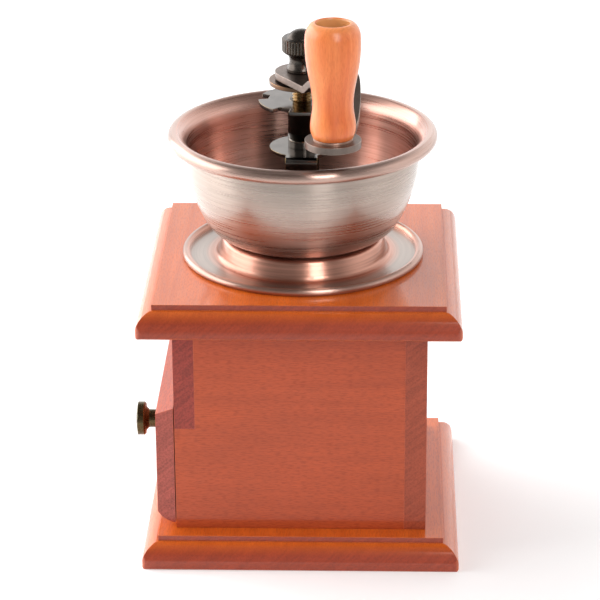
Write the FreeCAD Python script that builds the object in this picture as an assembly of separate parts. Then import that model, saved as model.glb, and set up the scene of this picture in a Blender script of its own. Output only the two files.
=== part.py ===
import FreeCAD, Part
import math
import os

# Manual coffee grinder: a wooden box with a drawer, a metal hopper bowl on a
# dish, and a conical burr mill turned by a crank with a wooden grip.
# Frame: +Z up, origin at the middle of the base's underside. The drawer opens
# toward -X, and the wide side walls face -Y and +Y. Lengths are millimetres.

V = FreeCAD.Vector
os.makedirs("parts", exist_ok=True)

# Wooden box
board_x = 125.0            # base and cap boards
board_y = 125.0
board_t = 12.0
panel_inset = 6.2          # from the board's edge to its raised panel
panel_step = 2.3
edge_land = 0.7            # flat ledge under the panel's step
edge_round_drop = 7.6      # height of the rounded edge
edge_break = 0.5
board_corner_r = 2.5

column_x = 98.7
column_y = 98.2
column_h = 86.5
side_t = 9.0
back_t = 8.5
rail_t = 8.1
rail_h = 43.4

wood_screw_r = 1.9
wood_screw_head_r = 3.9
wood_screw_len = 32.0
wood_screw_sink = 0.4
wood_screw_spread = 60.0   # between the two screws of one wall
dowel_r = 3.0
dowel_len = 18.0
dowel_spread = 56.0
hole_clear = 0.05          # radial clearance of a screw or dowel in its hole

# Drawer
front_t = 7.0
front_gap = 0.3            # between the drawer front and the column
front_over = 8.7           # how far the front laps over the rail
front_floor_gap = 2.3      # under the front, above the base board
front_top_slope = 2.4
front_low_round = 5.0
drawer_clear = 0.4         # beside the drawer, each side
drawer_floor_gap = 0.3
drawer_top_gap = 2.4       # under the rail
drawer_end_gap = 2.4       # before the back wall
drawer_wall_t = 6.0
drawer_bottom_t = 3.0
drawer_bottom_up = 3.0     # from the side's lower edge to the bottom board
groove_depth = 2.5
drawer_dowel_r = 2.0
drawer_dowel_len = 14.0
drawer_dowel_bite = 4.5    # length in the drawer front
drawer_dowel_up = 3.2      # low dowels, above the bottom board
drawer_dowel_down = 9.2    # high dowels, below the side's upper edge
nail_r = 0.8
nail_len = 16.0
nail_head_r = 1.6
nail_head_t = 0.8

knob_z = 37.0
knob_r = 6.85
knob_head_t = 3.2
knob_dome = 0.8
knob_cone = 1.3
knob_stem_r = 3.7
knob_reach = 12.2          # from the drawer front to the knob's outer face
knob_screw_r = 1.7
knob_screw_head_r = 3.6
knob_screw_head_t = 2.0
knob_screw_bite = 5.5      # depth in the knob

# Dish and bowl
sheet_t = 0.8
dish_r = 48.0
dish_bead_r = 1.6
dish_seat = 0.15           # flat worn on the bead where it sits
dish_flat_r = 36.0         # where the flat ring that lies on the cap board starts
dish_fillet_r = 2.5        # hollow rounding at the foot of the neck
dish_neck_r = 32.2         # the raised middle under the bowl
dish_shoulder_r = 1.6      # rounding at the top of the neck
dish_foot_h = 8.3          # top face above the cap board
throat_bore_r = 14.0

bowl_flat_r = 25.0
bowl_corner_r = 16.0
bowl_corner_deg = 62.0
bowl_wall_r = 60.5         # the long curve of the wall
bowl_flare_r = 8.0
bowl_roll_r = 2.7
bowl_roll_out = 5.0        # roll's centre outside the wall's inner face
bowl_t = 0.9

# Bridge and its bolts
strip_t = 1.3
bridge_top = 45.0          # bridge's top face above the cap board
bridge_disc_r = 12.9
bridge_leg_w = 12.4
bridge_leg_y = 17.0
bridge_foot_y = 25.0
bridge_bend_r = 1.2
bolt_y = 21.7
bolt_r = 1.75
bolt_clear = 0.2
bolt_head_r = 3.3
bolt_head_t = 2.4
bolt_nut_w = 6.0           # across the flats
bolt_nut_t = 2.8
bolt_tail = 1.6
washer_t = 0.8
washer_r = 3.8

bush_r = 5.6
bush_h = 3.5               # above the bridge
bush_spigot_r = 5.2
bush_below = 2.2

# Burr mill
housing_flange_r = 28.0
housing_flange_t = 3.0
housing_r = 17.8
housing_h = 20.5           # below the cap board
throat_wall = 3.0
throat_clear = 0.5         # throat in the cap board's hole
spider_hub_r = 7.0
spider_hub_h = 6.0
spider_hub_up = 9.0        # hub's lower face above the flange's top
spider_arm_w = 4.5
burr_ring_r = 15.6
burr_ring_fit = 0.05
burr_ring_h = 17.0
burr_ring_up = 1.0         # ring's lower face above the housing's rim
burr_gap = 0.45            # between the two burrs
inner_burr_top_r = 6.6
inner_burr_low_r = 12.4
inner_burr_h = 17.5
coarse_flutes = 6
coarse_flute_w = 2.6
coarse_flute_depth = 2.0
fine_teeth = 18
fine_tooth_w = 1.1
fine_tooth_depth = 1.0
fine_tooth_twist = 18.0

spindle_r = 3.8
running = 0.06             # radial running clearance of the spindle
drive_r = 3.4              # drive ends of the spindle
drive_flat = 2.55          # flats, from the axis
drive_fit = 0.05
stud_r = 2.95
burr_washer_r = 7.0
burr_washer_t = 1.2
burr_nut_w = 10.0
burr_nut_t = 4.7
spindle_tail = 1.2
spring_wire = 1.2
spring_r = 5.6
spring_turns = 3

# Grind adjuster
sleeve_r = 5.6
sleeve_taper = 0.8         # at its lower end
sleeve_taper_h = 2.5
sleeve_gap = 0.1           # over the bush
wheel_r = 17.0
wheel_t = 1.5
wheel_z = 64.2             # wheel's top face above the cap board
sleeve_spigot_r = 4.9
notch_count = 5
notch_depth = 3.8
notch_in_w = 4.6
notch_out_w = 7.2
notch_first_deg = -10.0    # first notch, from the drawer side
thread_pitch = 1.25
thread_depth = 0.65
thread_run = 14.0

lock_r = 12.85
lock_t = 1.5
lock_z = 72.4              # lock plate's top face above the cap board
lock_tab_w = 4.0
lock_tab_root = 3.0        # how far the tab's strip runs into the plate
lock_tab_in = 0.6          # tab's inner face outside the notch's floor
lock_tab_below = 0.4       # tab's end below the wheel
lock_notch = 2             # the notch that holds the tab
spacer_r = 6.0
spacer_t = 0.8

# Crank
arm_t = 2.6
arm_hub_r = 10.5
arm_end_r = 10.5
arm_turn_deg = 28.0        # arm's first run, from -Y toward +X
arm_end_u = 58.2           # grip's axis along the first run
arm_end_v = -16.0          # and to its left
arm_left_v = 9.1           # left edge where the arm bends up
arm_right_v = 11.2         # right edge at the crest
arm_neck_u = 41.0
arm_neck_v = -5.6
arm_neck_half = 7.7
arm_neck_deg = 34.0
arm_bend_u = 18.5          # first bend
arm_crest_u = 25.2
arm_crest_h = 5.2
arm_low_u = 42.5
arm_drop = 8.1             # from the hub down to the grip's end
arm_bend_r = 1.2
arm_crest_r = 2.2
arm_low_r = 5.0

nut_flange_r = 5.9
nut_flange_h = 1.9
nut_neck_r = 4.9
nut_neck_h = 6.4           # height of the neck's top over the arm
nut_head_r = 7.75
nut_head_low = 7.9
nut_head_top = 13.6
nut_chamfer = 0.5
nut_dome_r = 5.9
nut_h = 16.8
nut_bore_h = 12.5
knurl_count = 38
knurl_depth = 0.45

grip_gap = 0.2
grip_washer_r = 7.4
grip_washer_t = 0.8
grip_h = 43.8
grip_foot_r = 7.5
grip_heel_r = 8.4
grip_heel_h = 2.8
grip_waist_r = 7.7
grip_waist_h = 10.6
grip_mid_r = 9.4
grip_mid_h = 25.5
grip_head_r = 10.35
grip_round_w = 3.75        # rounding of the grip's top, across and down
grip_round_h = 6.0
grip_bore_r = 6.3
grip_bore_deep = 12.0
pin_r = 2.5
pin_head_r = 4.8
pin_head_t = 2.2
pin_foot_r = 3.9
pin_foot_t = 1.0

# Heights that follow from the sizes above
z_base = board_t
z_cap = z_base + column_h
z_top = z_cap + board_t
z_rail = z_cap - rail_h
z_foot = z_top + dish_foot_h
z_bowl_in = z_foot + bowl_t
z_bridge = z_top + bridge_top
z_bush = z_bridge + bush_h
z_wheel = z_top + wheel_z
z_lock = z_top + lock_z
z_arm_low = z_lock + spacer_t
z_arm = z_arm_low + arm_t
z_end = z_arm - arm_drop
z_grip = z_end + grip_washer_t + grip_gap
z_throat = z_foot - sheet_t
z_housing = z_cap - housing_h
z_ring = z_housing + burr_ring_up
z_ring_top = z_ring + burr_ring_h
z_hub = z_cap + spider_hub_up
z_burr = z_ring
z_burr_top = z_burr + inner_burr_h
z_burr_washer = z_burr - burr_washer_t
z_burr_nut = z_burr_washer - burr_nut_t
z_spindle = z_burr_nut - spindle_tail

half_x = column_x / 2
half_y = column_y / 2
side_in = half_y - side_t
x_front = -half_x - front_gap
x_face = x_front - front_t
x_knob = x_face - knob_reach
x_back = half_x - back_t
drawer_y = side_in - drawer_clear
z_drawer = z_base + drawer_floor_gap
z_drawer_top = z_rail - drawer_top_gap
x_drawer_end = x_back - drawer_end_gap


def box(x0, x1, y0, y1, z0, z1):
    return Part.makeBox(x1 - x0, y1 - y0, z1 - z0, V(x0, y0, z0))


def rod(r, z0, z1, x=0.0, y=0.0):
    return Part.makeCylinder(r, z1 - z0, V(x, y, z0))


def rod_x(r, x0, x1, y, z):
    return Part.makeCylinder(r, x1 - x0, V(x0, y, z), V(1, 0, 0))


def tube(r_out, r_in, z0, z1, x=0.0, y=0.0):
    return rod(r_out, z0, z1, x, y).cut(rod(r_in, z0, z1, x, y))


def hexagon(width, z0, z1, x=0.0, y=0.0):
    r = width / 2 / math.cos(math.pi / 6)
    pts = []
    for i in range(7):
        a = math.radians(60 * i)
        pts.append(V(x + r * math.cos(a), y + r * math.sin(a), z0))
    return Part.Face(Part.makePolygon(pts)).extrude(V(0, 0, z1 - z0))


def outline(items, place):
    """Closed face. An item is a point, or a pair of points: an arc's middle and its end."""
    edges = []
    last = items[0]
    for item in items[1:] + [items[0]]:
        if isinstance(item[0], tuple):
            mid, end = item
            edges.append(Part.Arc(place(last), place(mid), place(end)).toShape())
            last = end
        else:
            if math.dist(last, item) > 1e-7:
                edges.append(Part.LineSegment(place(last), place(item)).toShape())
            last = item
    return Part.Face(Part.Wire(edges))


def in_xz(p):
    return V(p[0], 0, p[1])


def in_yz(p):
    return V(0, p[0], p[1])


def turned(items):
    """A turned piece from its half section, given as radius and height."""
    return outline(items, in_xz).revolve(V(0, 0, 0), V(0, 0, 1), 360)


def turn(shape, deg, x=0.0, y=0.0):
    out = shape.copy()
    out.rotate(V(x, y, 0), V(0, 0, 1), deg)
    return out


def shift(shape, x, y, z):
    out = shape.copy()
    out.translate(V(x, y, z))
    return out


def save(name, shape):
    shape = shape.removeSplitter()
    solids = shape.Solids
    if not solids or not shape.isValid():
        raise RuntimeError("bad shape: " + name)
    if len(solids) == 1:
        shape = solids[0]
    else:
        shape = Part.makeCompound(solids)
    shape.exportStep("parts/" + name + ".step")
    print(name, len(solids), round(shape.Volume, 1))


def dome(r, z, h):
    """Arc from a rim at radius r and height z to a dome's top on the axis, h away."""
    big = (r * r + h * h) / (2 * abs(h))
    half = math.asin(r / big) / 2
    sign = 1 if h > 0 else -1
    return ((big * math.sin(half), z + h - sign * (big - big * math.cos(half))), (0, z + h))


def double_flat(r, flat, z0, z1):
    """A round bar with two flats, as on the spindle's drive ends."""
    return rod(r, z0, z1).common(box(-r, r, -flat, flat, z0, z1))


def quarter_arc(x0, z0, x1, z1):
    """Arc that leaves its first point upright and bends over to its last point."""
    a = x1 - x0
    b = z1 - z0
    r = (a * a + b * b) / (2 * abs(a))
    sign = 1 if a > 0 else -1
    half = math.atan2(b, r - abs(a)) / 2
    mid = (x0 + sign * (r - r * math.cos(half)), z0 + r * math.sin(half))
    return (mid, (x1, z1))


# Boards
def edge_section(half, z0):
    """Cross-section of a board: raised panel, ledge, rounded edge, small breaks."""
    z_ledge = z0 + board_t - panel_step
    z_lip = z_ledge - edge_round_drop
    out = half - panel_inset
    right = [(-half + edge_break, z0), (half - edge_break, z0), (half, z0 + edge_break),
             (half, z_lip), quarter_arc(half, z_lip, out + edge_land, z_ledge),
             (out, z_ledge), (out, z0 + board_t)]
    left_mid, left_end = quarter_arc(-half, z_lip, -out - edge_land, z_ledge)
    left = [(-out, z0 + board_t), (-out, z_ledge), (-out - edge_land, z_ledge),
            (left_mid, (-half, z_lip)), (-half, z0 + edge_break)]
    return right + left


def moulded_board(z0):
    along_y = outline(edge_section(board_x / 2, z0), in_xz)
    along_y.translate(V(0, -board_y / 2, 0))
    prism_y = along_y.extrude(V(0, board_y, 0))
    along_x = outline(edge_section(board_y / 2, z0), in_yz)
    along_x.translate(V(-board_x / 2, 0, 0))
    prism_x = along_x.extrude(V(board_x, 0, 0))
    plan = box(-board_x / 2, board_x / 2, -board_y / 2, board_y / 2, z0, z0 + board_t)
    upright = [e for e in plan.Edges if abs(e.tangentAt(e.FirstParameter).z) > 0.9]
    plan = plan.makeFillet(board_corner_r, upright)
    return prism_y.common(prism_x).common(plan)


screw_spots = []
dowel_spots = []
for side in (-1, 1):
    for end in (-1, 1):
        screw_spots.append((end * wood_screw_spread / 2, side * (half_y - side_t / 2)))
        dowel_spots.append((end * dowel_spread / 2, side * (half_y - side_t / 2)))


def wood_screw(x, y, grow):
    """Countersunk screw driven upward; grow widens it for its hole."""
    z0 = wood_screw_sink
    head = wood_screw_head_r - wood_screw_r
    tip = z0 + wood_screw_len
    body = turned([(0, z0), (wood_screw_head_r + grow, z0),
                   (wood_screw_r + grow, z0 + head), (wood_screw_r + grow, tip - 4.0),
                   (0.5 + grow, tip + grow), (0, tip + grow)])
    return shift(body, x, y, 0)


screw_holes = [wood_screw(x, y, hole_clear) for x, y in screw_spots]
sink_holes = [rod(wood_screw_head_r + hole_clear, 0, wood_screw_sink, x, y) for x, y in screw_spots]
dowel_low = z_cap - dowel_len / 2
dowel_holes = [rod(dowel_r + hole_clear, dowel_low - hole_clear,
                   dowel_low + dowel_len + hole_clear, x, y) for x, y in dowel_spots]

base_board = moulded_board(0).cut(screw_holes + sink_holes)
save("base_board", base_board)

bolt_holes = [rod(bolt_r + bolt_clear, z_cap - 50, z_top + 50, 0, s * bolt_y) for s in (-1, 1)]
throat_r = throat_bore_r + throat_wall
cap_board = moulded_board(z_cap).cut([rod(throat_r + throat_clear, z_cap, z_top)] + bolt_holes
                                     + dowel_holes)
save("cap_board", cap_board)


def side_panel(side):
    y0 = half_y - side_t
    if side < 0:
        wall = box(-half_x, x_back, -half_y, -y0, z_base, z_cap)
    else:
        wall = box(-half_x, x_back, y0, half_y, z_base, z_cap)
    notch = box(-half_x - 1, -half_x + rail_t, -half_y - 1, half_y + 1, z_rail, z_cap + 1)
    return wall.cut([notch] + screw_holes + dowel_holes)


save("side_panel_near", side_panel(-1))
save("side_panel_far", side_panel(1))
save("back_panel", box(x_back, half_x, -half_y, half_y, z_base, z_cap))
save("front_rail", box(-half_x, -half_x + rail_t, -half_y, half_y, z_rail, z_cap))


def cross_slot(r, depth, z_face):
    """Two crossed slots cut into a screw head's lower face."""
    a = box(-r, r, -0.45, 0.45, z_face - 1, z_face + depth)
    return a.fuse(turn(a, 90))


screws = []
for x, y in screw_spots:
    slot = shift(cross_slot(2.2, 1.2, wood_screw_sink), x, y, 0)
    screws.append(wood_screw(x, y, 0).cut(slot))
save("base_screws", Part.makeCompound(screws))
dowels = [rod(dowel_r, dowel_low, dowel_low + dowel_len, x, y) for x, y in dowel_spots]
save("cap_dowels", Part.makeCompound(dowels))


# Drawer
front_low = z_base + front_floor_gap
front_high = z_rail + front_over
front_face = outline([
    (x_front, front_low),
    (x_front, front_high),
    (x_face, front_high - front_top_slope),
    (x_face, front_low + front_low_round),
    ((x_face + front_t * 0.42, front_low + front_low_round * 0.32),
     (x_face + front_t * 0.95, front_low)),
], in_xz)
front_face.translate(V(0, -half_y, 0))
drawer_front = front_face.extrude(V(0, column_y, 0))
knob_screw_hole = rod_x(knob_screw_r + hole_clear, x_face - 1, x_front + 1, 0, knob_z)
z_panel = z_drawer + drawer_bottom_up
pin_z = [z_panel + drawer_bottom_t + drawer_dowel_up, z_drawer_top - drawer_dowel_down]
wall_mid = drawer_y - drawer_wall_t / 2
drawer_dowel_holes = []
drawer_dowels = []
for z in pin_z:
    for y in (-wall_mid, wall_mid):
        x0 = x_front - drawer_dowel_bite
        drawer_dowels.append(rod_x(drawer_dowel_r, x0, x0 + drawer_dowel_len, y, z))
        drawer_dowel_holes.append(rod_x(drawer_dowel_r + hole_clear, x0 - hole_clear,
                                        x0 + drawer_dowel_len + hole_clear, y, z))
drawer_front = drawer_front.cut([knob_screw_hole] + drawer_dowel_holes)
save("drawer_front", drawer_front)
save("drawer_dowels", Part.makeCompound(drawer_dowels))

nail_x = x_drawer_end - drawer_wall_t / 2
nails = []
nail_holes = []
for z in pin_z:
    for side in (-1, 1):
        start = V(nail_x, side * drawer_y, z)
        inward = V(0, -side, 0)
        nails.append(Part.makeCylinder(nail_r, nail_len, start, inward))
        nails.append(Part.makeCylinder(nail_head_r, nail_head_t, start, inward))
        nail_holes.append(Part.makeCylinder(nail_r + hole_clear, nail_len + hole_clear, start, inward))
        nail_holes.append(Part.makeCylinder(nail_head_r + hole_clear, nail_head_t, start, inward))
whole_nails = [nails[i].fuse(nails[i + 1]) for i in range(0, len(nails), 2)]
save("drawer_nails", Part.makeCompound(whole_nails))

panel_y = drawer_y - drawer_wall_t + groove_depth
panel_x = x_drawer_end - drawer_wall_t + groove_depth
drawer_panel = box(x_front, panel_x, -panel_y, panel_y, z_panel, z_panel + drawer_bottom_t)


def drawer_side(side):
    y0 = drawer_y - drawer_wall_t
    if side < 0:
        wall = box(x_front, x_drawer_end, -drawer_y, -y0, z_drawer, z_drawer_top)
    else:
        wall = box(x_front, x_drawer_end, y0, drawer_y, z_drawer, z_drawer_top)
    return wall.cut([drawer_panel] + drawer_dowel_holes + nail_holes)


save("drawer_side_near", drawer_side(-1))
save("drawer_side_far", drawer_side(1))
back_y = drawer_y - drawer_wall_t
drawer_back = box(x_drawer_end - drawer_wall_t, x_drawer_end, -back_y, back_y, z_drawer, z_drawer_top)
save("drawer_back", drawer_back.cut([drawer_panel] + nail_holes))
save("drawer_bottom", drawer_panel)

head_in = knob_reach - knob_head_t - knob_dome
knob = turned([
    (0, 0), (knob_stem_r, 0), (knob_stem_r, head_in - knob_cone),
    (knob_stem_r + knob_cone, head_in), (knob_r - 0.6, head_in),
    (knob_r, head_in + 0.6), (knob_r, head_in + knob_head_t),
    dome(knob_r, head_in + knob_head_t, knob_dome),
])
knob = knob.cut(rod(knob_screw_r + hole_clear, 0, knob_screw_bite + hole_clear))
knob.rotate(V(0, 0, 0), V(0, 1, 0), -90)
knob.translate(V(x_face, 0, knob_z))
save("drawer_knob", knob)
knob_screw = rod_x(knob_screw_r, x_face - knob_screw_bite, x_front, 0, knob_z)
knob_head = rod_x(knob_screw_head_r, x_front, x_front + knob_screw_head_t, 0, knob_z)
knob_slot = box(x_front + knob_screw_head_t / 2, x_front + knob_screw_head_t + 1,
                -knob_screw_head_r, knob_screw_head_r, knob_z - 0.5, knob_z + 0.5)
save("knob_screw", knob_screw.fuse(knob_head).cut(knob_slot))


# Dish
bead_z = z_top + dish_bead_r - dish_seat
bead_in = dish_r - dish_bead_r
shoulder_in = dish_neck_r - dish_shoulder_r
shoulder_z = z_foot - dish_shoulder_r
fillet_z = z_top + sheet_t + dish_fillet_r
neck_dx = dish_flat_r - shoulder_in
neck_dz = shoulder_z - fillet_z
neck_lean = (math.acos((dish_fillet_r + dish_shoulder_r) / math.hypot(neck_dx, neck_dz))
             - math.atan2(neck_dz, neck_dx))


def round_point(x, z, r, a):
    return V(x + r * math.cos(a), 0, z + r * math.sin(a))


def dish_line(drop):
    """Line of the sheet from the throat over the neck to the bead, drop inside its upper face."""
    high = math.radians(90)
    r_out = dish_shoulder_r - drop
    r_in = -dish_fillet_r - drop
    start = V(throat_bore_r, 0, z_foot - drop)
    out_1, out_2, out_3 = [round_point(shoulder_in, shoulder_z, r_out, a)
                           for a in (high, (high + neck_lean) / 2, neck_lean)]
    in_1, in_2, in_3 = [round_point(dish_flat_r, fillet_z, r_in, a)
                        for a in (neck_lean, (high + neck_lean) / 2, high)]
    end = V(bead_in, 0, z_top + sheet_t - drop)
    edges = [Part.LineSegment(start, out_1).toShape(), Part.Arc(out_1, out_2, out_3).toShape(),
             Part.LineSegment(out_3, in_1).toShape(), Part.Arc(in_1, in_2, in_3).toShape(),
             Part.LineSegment(in_3, end).toShape()]
    return edges, start, end


upper, u0, u1 = dish_line(0)
lower, l0, l1 = dish_line(sheet_t)
dish_edges = upper + [Part.LineSegment(u1, l1).toShape()] + lower[::-1]
dish_edges.append(Part.LineSegment(l0, u0).toShape())
dish_face = Part.Face(Part.Wire(dish_edges))
bead_ring = Part.Circle(V(bead_in, 0, bead_z), V(0, 1, 0), dish_bead_r).toShape()
dish_face = dish_face.fuse(Part.Face(Part.Wire(bead_ring)))
under_board = outline([(bead_in - 4, z_top - 4), (dish_r + 4, z_top - 4), (dish_r + 4, z_top),
                       (bead_in - 4, z_top)], in_xz)
dish_face = dish_face.cut(under_board).removeSplitter()
dish = dish_face.revolve(V(0, 0, 0), V(0, 0, 1), 360).cut(bolt_holes)
save("dish", dish)

# Bowl
corner = math.radians(bowl_corner_deg)
bowl_floor_in = z_bowl_in
corner_in = bowl_corner_r - bowl_t
wall_in = bowl_wall_r - bowl_t


def bowl_points(r_corner, r_wall, z_floor):
    """Where the corner arc and the wall arc start, turn and end."""
    cz = z_floor + r_corner
    c_mid = (bowl_flat_r + r_corner * math.sin(corner / 2), cz - r_corner * math.cos(corner / 2))
    c_end = (bowl_flat_r + r_corner * math.sin(corner), cz - r_corner * math.cos(corner))
    wx = c_end[0] - r_wall * math.sin(corner)
    wz = c_end[1] + r_wall * math.cos(corner)
    half = (corner + math.pi / 2) / 2
    w_mid = (wx + r_wall * math.sin(half), wz - r_wall * math.cos(half))
    w_end = (wx + r_wall, wz)
    return c_mid, c_end, w_mid, w_end


o_cm, o_ce, o_wm, o_we = bowl_points(bowl_corner_r, bowl_wall_r, z_foot)
i_cm, i_ce, i_wm, i_we = bowl_points(corner_in, wall_in, bowl_floor_in)
flare_x = i_we[0] + bowl_flare_r
flare_z = i_we[1]
roll_x = i_we[0] + bowl_roll_out
reach = bowl_flare_r - bowl_roll_r
roll_z = flare_z + math.sqrt(reach ** 2 - (flare_x - roll_x) ** 2)
lean = math.atan2(roll_z - flare_z, flare_x - roll_x)


def flare_point(r, a):
    return (flare_x - r * math.cos(a), flare_z + r * math.sin(a))


def roll_point(a):
    """Point of the rolled rim's circle, at an angle counted from the flare's lean."""
    return (roll_x - bowl_roll_r * math.cos(lean + a), roll_z + bowl_roll_r * math.sin(lean + a))


flare_out = bowl_flare_r - bowl_t
seam_far = (flare_out ** 2 - bowl_roll_r ** 2 + reach ** 2) / (2 * reach)
seam_off = math.sqrt(flare_out ** 2 - seam_far ** 2)
seam_flare = lean - math.atan2(seam_off, seam_far)
seam_roll = -math.atan2(seam_off, seam_far - reach)
bowl_face = outline([
    (throat_bore_r, z_foot), (bowl_flat_r, z_foot), (o_cm, o_ce), (o_wm, o_we),
    (flare_point(flare_out, seam_flare / 2), flare_point(flare_out, seam_flare)),
    (roll_point((seam_roll - 2 * math.pi) / 2), roll_point(0)),
    (flare_point(bowl_flare_r, lean / 2), i_we),
    (i_wm, i_ce), (i_cm, (bowl_flat_r, bowl_floor_in)), (throat_bore_r, bowl_floor_in),
], in_xz)
bowl = bowl_face.revolve(V(0, 0, 0), V(0, 0, 1), 360).cut(bolt_holes)
save("hopper_bowl", bowl)


# Bent strips
def bent_section(corners, radii, t):
    """Section of a strip bent at its corners. The corners run along its upper
    face, radii are the inner bend radii, and the strip lies t below the face."""
    top = [corners[0]]
    under = []
    count = len(corners)
    dirs = []
    for i in range(count - 1):
        dx = corners[i + 1][0] - corners[i][0]
        dz = corners[i + 1][1] - corners[i][1]
        size = math.hypot(dx, dz)
        dirs.append((dx / size, dz / size))
    n0 = (-dirs[0][1], dirs[0][0])
    under.append((corners[0][0] - n0[0] * t, corners[0][1] - n0[1] * t))
    low_arcs = []
    for i in range(1, count - 1):
        d1, d2 = dirs[i - 1], dirs[i]
        cross = d1[0] * d2[1] - d1[1] * d2[0]
        angle = abs(math.atan2(cross, d1[0] * d2[0] + d1[1] * d2[1]))
        n1 = (-d1[1], d1[0])
        n2 = (-d2[1], d2[0])
        s = 1 if cross > 0 else -1
        r_top = radii[i - 1] if s > 0 else radii[i - 1] + t
        r_low = radii[i - 1] + t if s > 0 else radii[i - 1]
        run = r_top * math.tan(angle / 2)
        p = corners[i]
        t1 = (p[0] - d1[0] * run, p[1] - d1[1] * run)
        t2 = (p[0] + d2[0] * run, p[1] + d2[1] * run)
        c = (t1[0] + s * n1[0] * r_top, t1[1] + s * n1[1] * r_top)
        m = (n1[0] + n2[0], n1[1] + n2[1])
        size = math.hypot(m[0], m[1])
        m = (-s * m[0] / size, -s * m[1] / size)
        top.append(t1)
        top.append(((c[0] + m[0] * r_top, c[1] + m[1] * r_top), t2))
        b1 = (t1[0] - n1[0] * t, t1[1] - n1[1] * t)
        b2 = (t2[0] - n2[0] * t, t2[1] - n2[1] * t)
        low_arcs.append((b1, (c[0] + m[0] * r_low, c[1] + m[1] * r_low), b2))
    n_last = (-dirs[-1][1], dirs[-1][0])
    top.append(corners[-1])
    end = corners[-1]
    back = [(end[0] - n_last[0] * t, end[1] - n_last[1] * t)]
    for b1, mid, b2 in reversed(low_arcs):
        back.append(b2)
        back.append((mid, b1))
    back.append(under[0])
    return top + back


# Bridge
z_step = z_bowl_in + strip_t
bridge_path = [(-bridge_foot_y, z_step), (-bridge_leg_y, z_step), (-bridge_leg_y, z_bridge),
               (bridge_leg_y, z_bridge), (bridge_leg_y, z_step), (bridge_foot_y, z_step)]
bridge_face = outline(bent_section(bridge_path, [bridge_bend_r] * 4, strip_t), in_yz)
bridge_face.translate(V(-bridge_leg_w / 2, 0, 0))
bridge = bridge_face.extrude(V(bridge_leg_w, 0, 0))
foot_round = rod(bridge_foot_y, z_bowl_in - 1, z_bridge + 1)
bridge = bridge.common(foot_round).fuse(rod(bridge_disc_r, z_bridge - strip_t, z_bridge))
bridge = bridge.cut([rod(bush_spigot_r + hole_clear, z_bridge - 20, z_bridge + 1)] + bolt_holes)
save("bridge", bridge)

bush = turned([(spindle_r + running, z_bridge - strip_t - bush_below),
               (bush_spigot_r, z_bridge - strip_t - bush_below),
               (bush_spigot_r, z_bridge), (bush_r, z_bridge),
               (bush_r, z_bush - 0.4), (bush_r - 0.4, z_bush), (spindle_r + running, z_bush)])
save("bridge_bush", bush)

# Bolts through bridge, bowl, dish, cap board and housing
z_flange = z_cap - housing_flange_t
z_washer = z_flange - washer_t
z_nut = z_washer - bolt_nut_t
bolts = []
washers = []
nuts = []
for s in (-1, 1):
    y = s * bolt_y
    shank = rod(bolt_r, z_nut - bolt_tail, z_step, 0, y)
    head = turned([(0, z_step), (bolt_head_r, z_step), (bolt_head_r, z_step + 0.6),
                   dome(bolt_head_r, z_step + 0.6, bolt_head_t - 0.6)])
    slot = box(-bolt_head_r, bolt_head_r, y - 0.5, y + 0.5, z_step + bolt_head_t * 0.5, z_step + 9)
    bolts.append(shank.fuse(shift(head, 0, y, 0)).cut(slot))
    washers.append(tube(washer_r, bolt_r + bolt_clear, z_washer, z_flange, 0, y))
    thread = rod(bolt_r + hole_clear, z_nut, z_washer, 0, y)
    nuts.append(hexagon(bolt_nut_w, z_nut, z_washer, 0, y).cut(thread))
save("hopper_bolts", Part.makeCompound(bolts))
save("bolt_washers", Part.makeCompound(washers))
save("bolt_nuts", Part.makeCompound(nuts))

# Burr housing: throat, flange, body and the spider that carries the spindle
ring_seat = burr_ring_r + burr_ring_fit
housing = rod(throat_r, z_flange, z_throat)
housing = housing.fuse(rod(housing_flange_r, z_flange, z_cap))
housing = housing.fuse(rod(housing_r, z_housing, z_cap))
housing = housing.cut([rod(throat_bore_r, z_housing - 1, z_throat + 1),
                       rod(ring_seat, z_housing - 1, z_ring_top)])
arms = []
for i in range(3):
    arm = box(0, throat_bore_r + 1, -spider_arm_w / 2, spider_arm_w / 2, z_hub, z_hub + spider_hub_h)
    arms.append(turn(arm, 120 * i))
hub = rod(spider_hub_r, z_hub, z_hub + spider_hub_h)
spider = hub.fuse(arms).common(rod(throat_bore_r + 1, z_hub, z_hub + spider_hub_h))
housing = housing.fuse(spider).cut([rod(spindle_r + running, z_hub - 1, z_hub + spider_hub_h + 1)]
                                   + bolt_holes)
save("burr_housing", housing)

# Burrs
slope = (inner_burr_low_r - inner_burr_top_r) / inner_burr_h
cone_deg = math.degrees(math.atan(slope))


def burr_radius(z):
    """Radius of the inner burr's cone at a height."""
    return inner_burr_low_r - slope * (z - z_burr)


def groove_tools(count, z_low, z_high, width, depth, outside, twist):
    """V grooves along the cone, sunk by depth into the inner or the outer burr."""
    tools = []
    mid = (z_low + z_high) / 2
    size = (z_high - z_low) / math.cos(math.radians(cone_deg)) + 4
    sign = 1 if outside else -1
    face_r = burr_radius(mid) + (burr_gap if outside else 0)
    tri = [V(-sign * depth, -width, -size / 2), V(-sign * depth, width, -size / 2),
           V(sign * depth, 0, -size / 2), V(-sign * depth, -width, -size / 2)]
    prism = Part.Face(Part.makePolygon(tri)).extrude(V(0, 0, size))
    prism.rotate(V(0, 0, 0), V(1, 0, 0), twist)
    prism.rotate(V(0, 0, 0), V(0, 1, 0), -cone_deg)
    prism.translate(V(face_r, 0, mid))
    for i in range(count):
        tools.append(turn(prism, 360 * i / count))
    return tools


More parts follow.
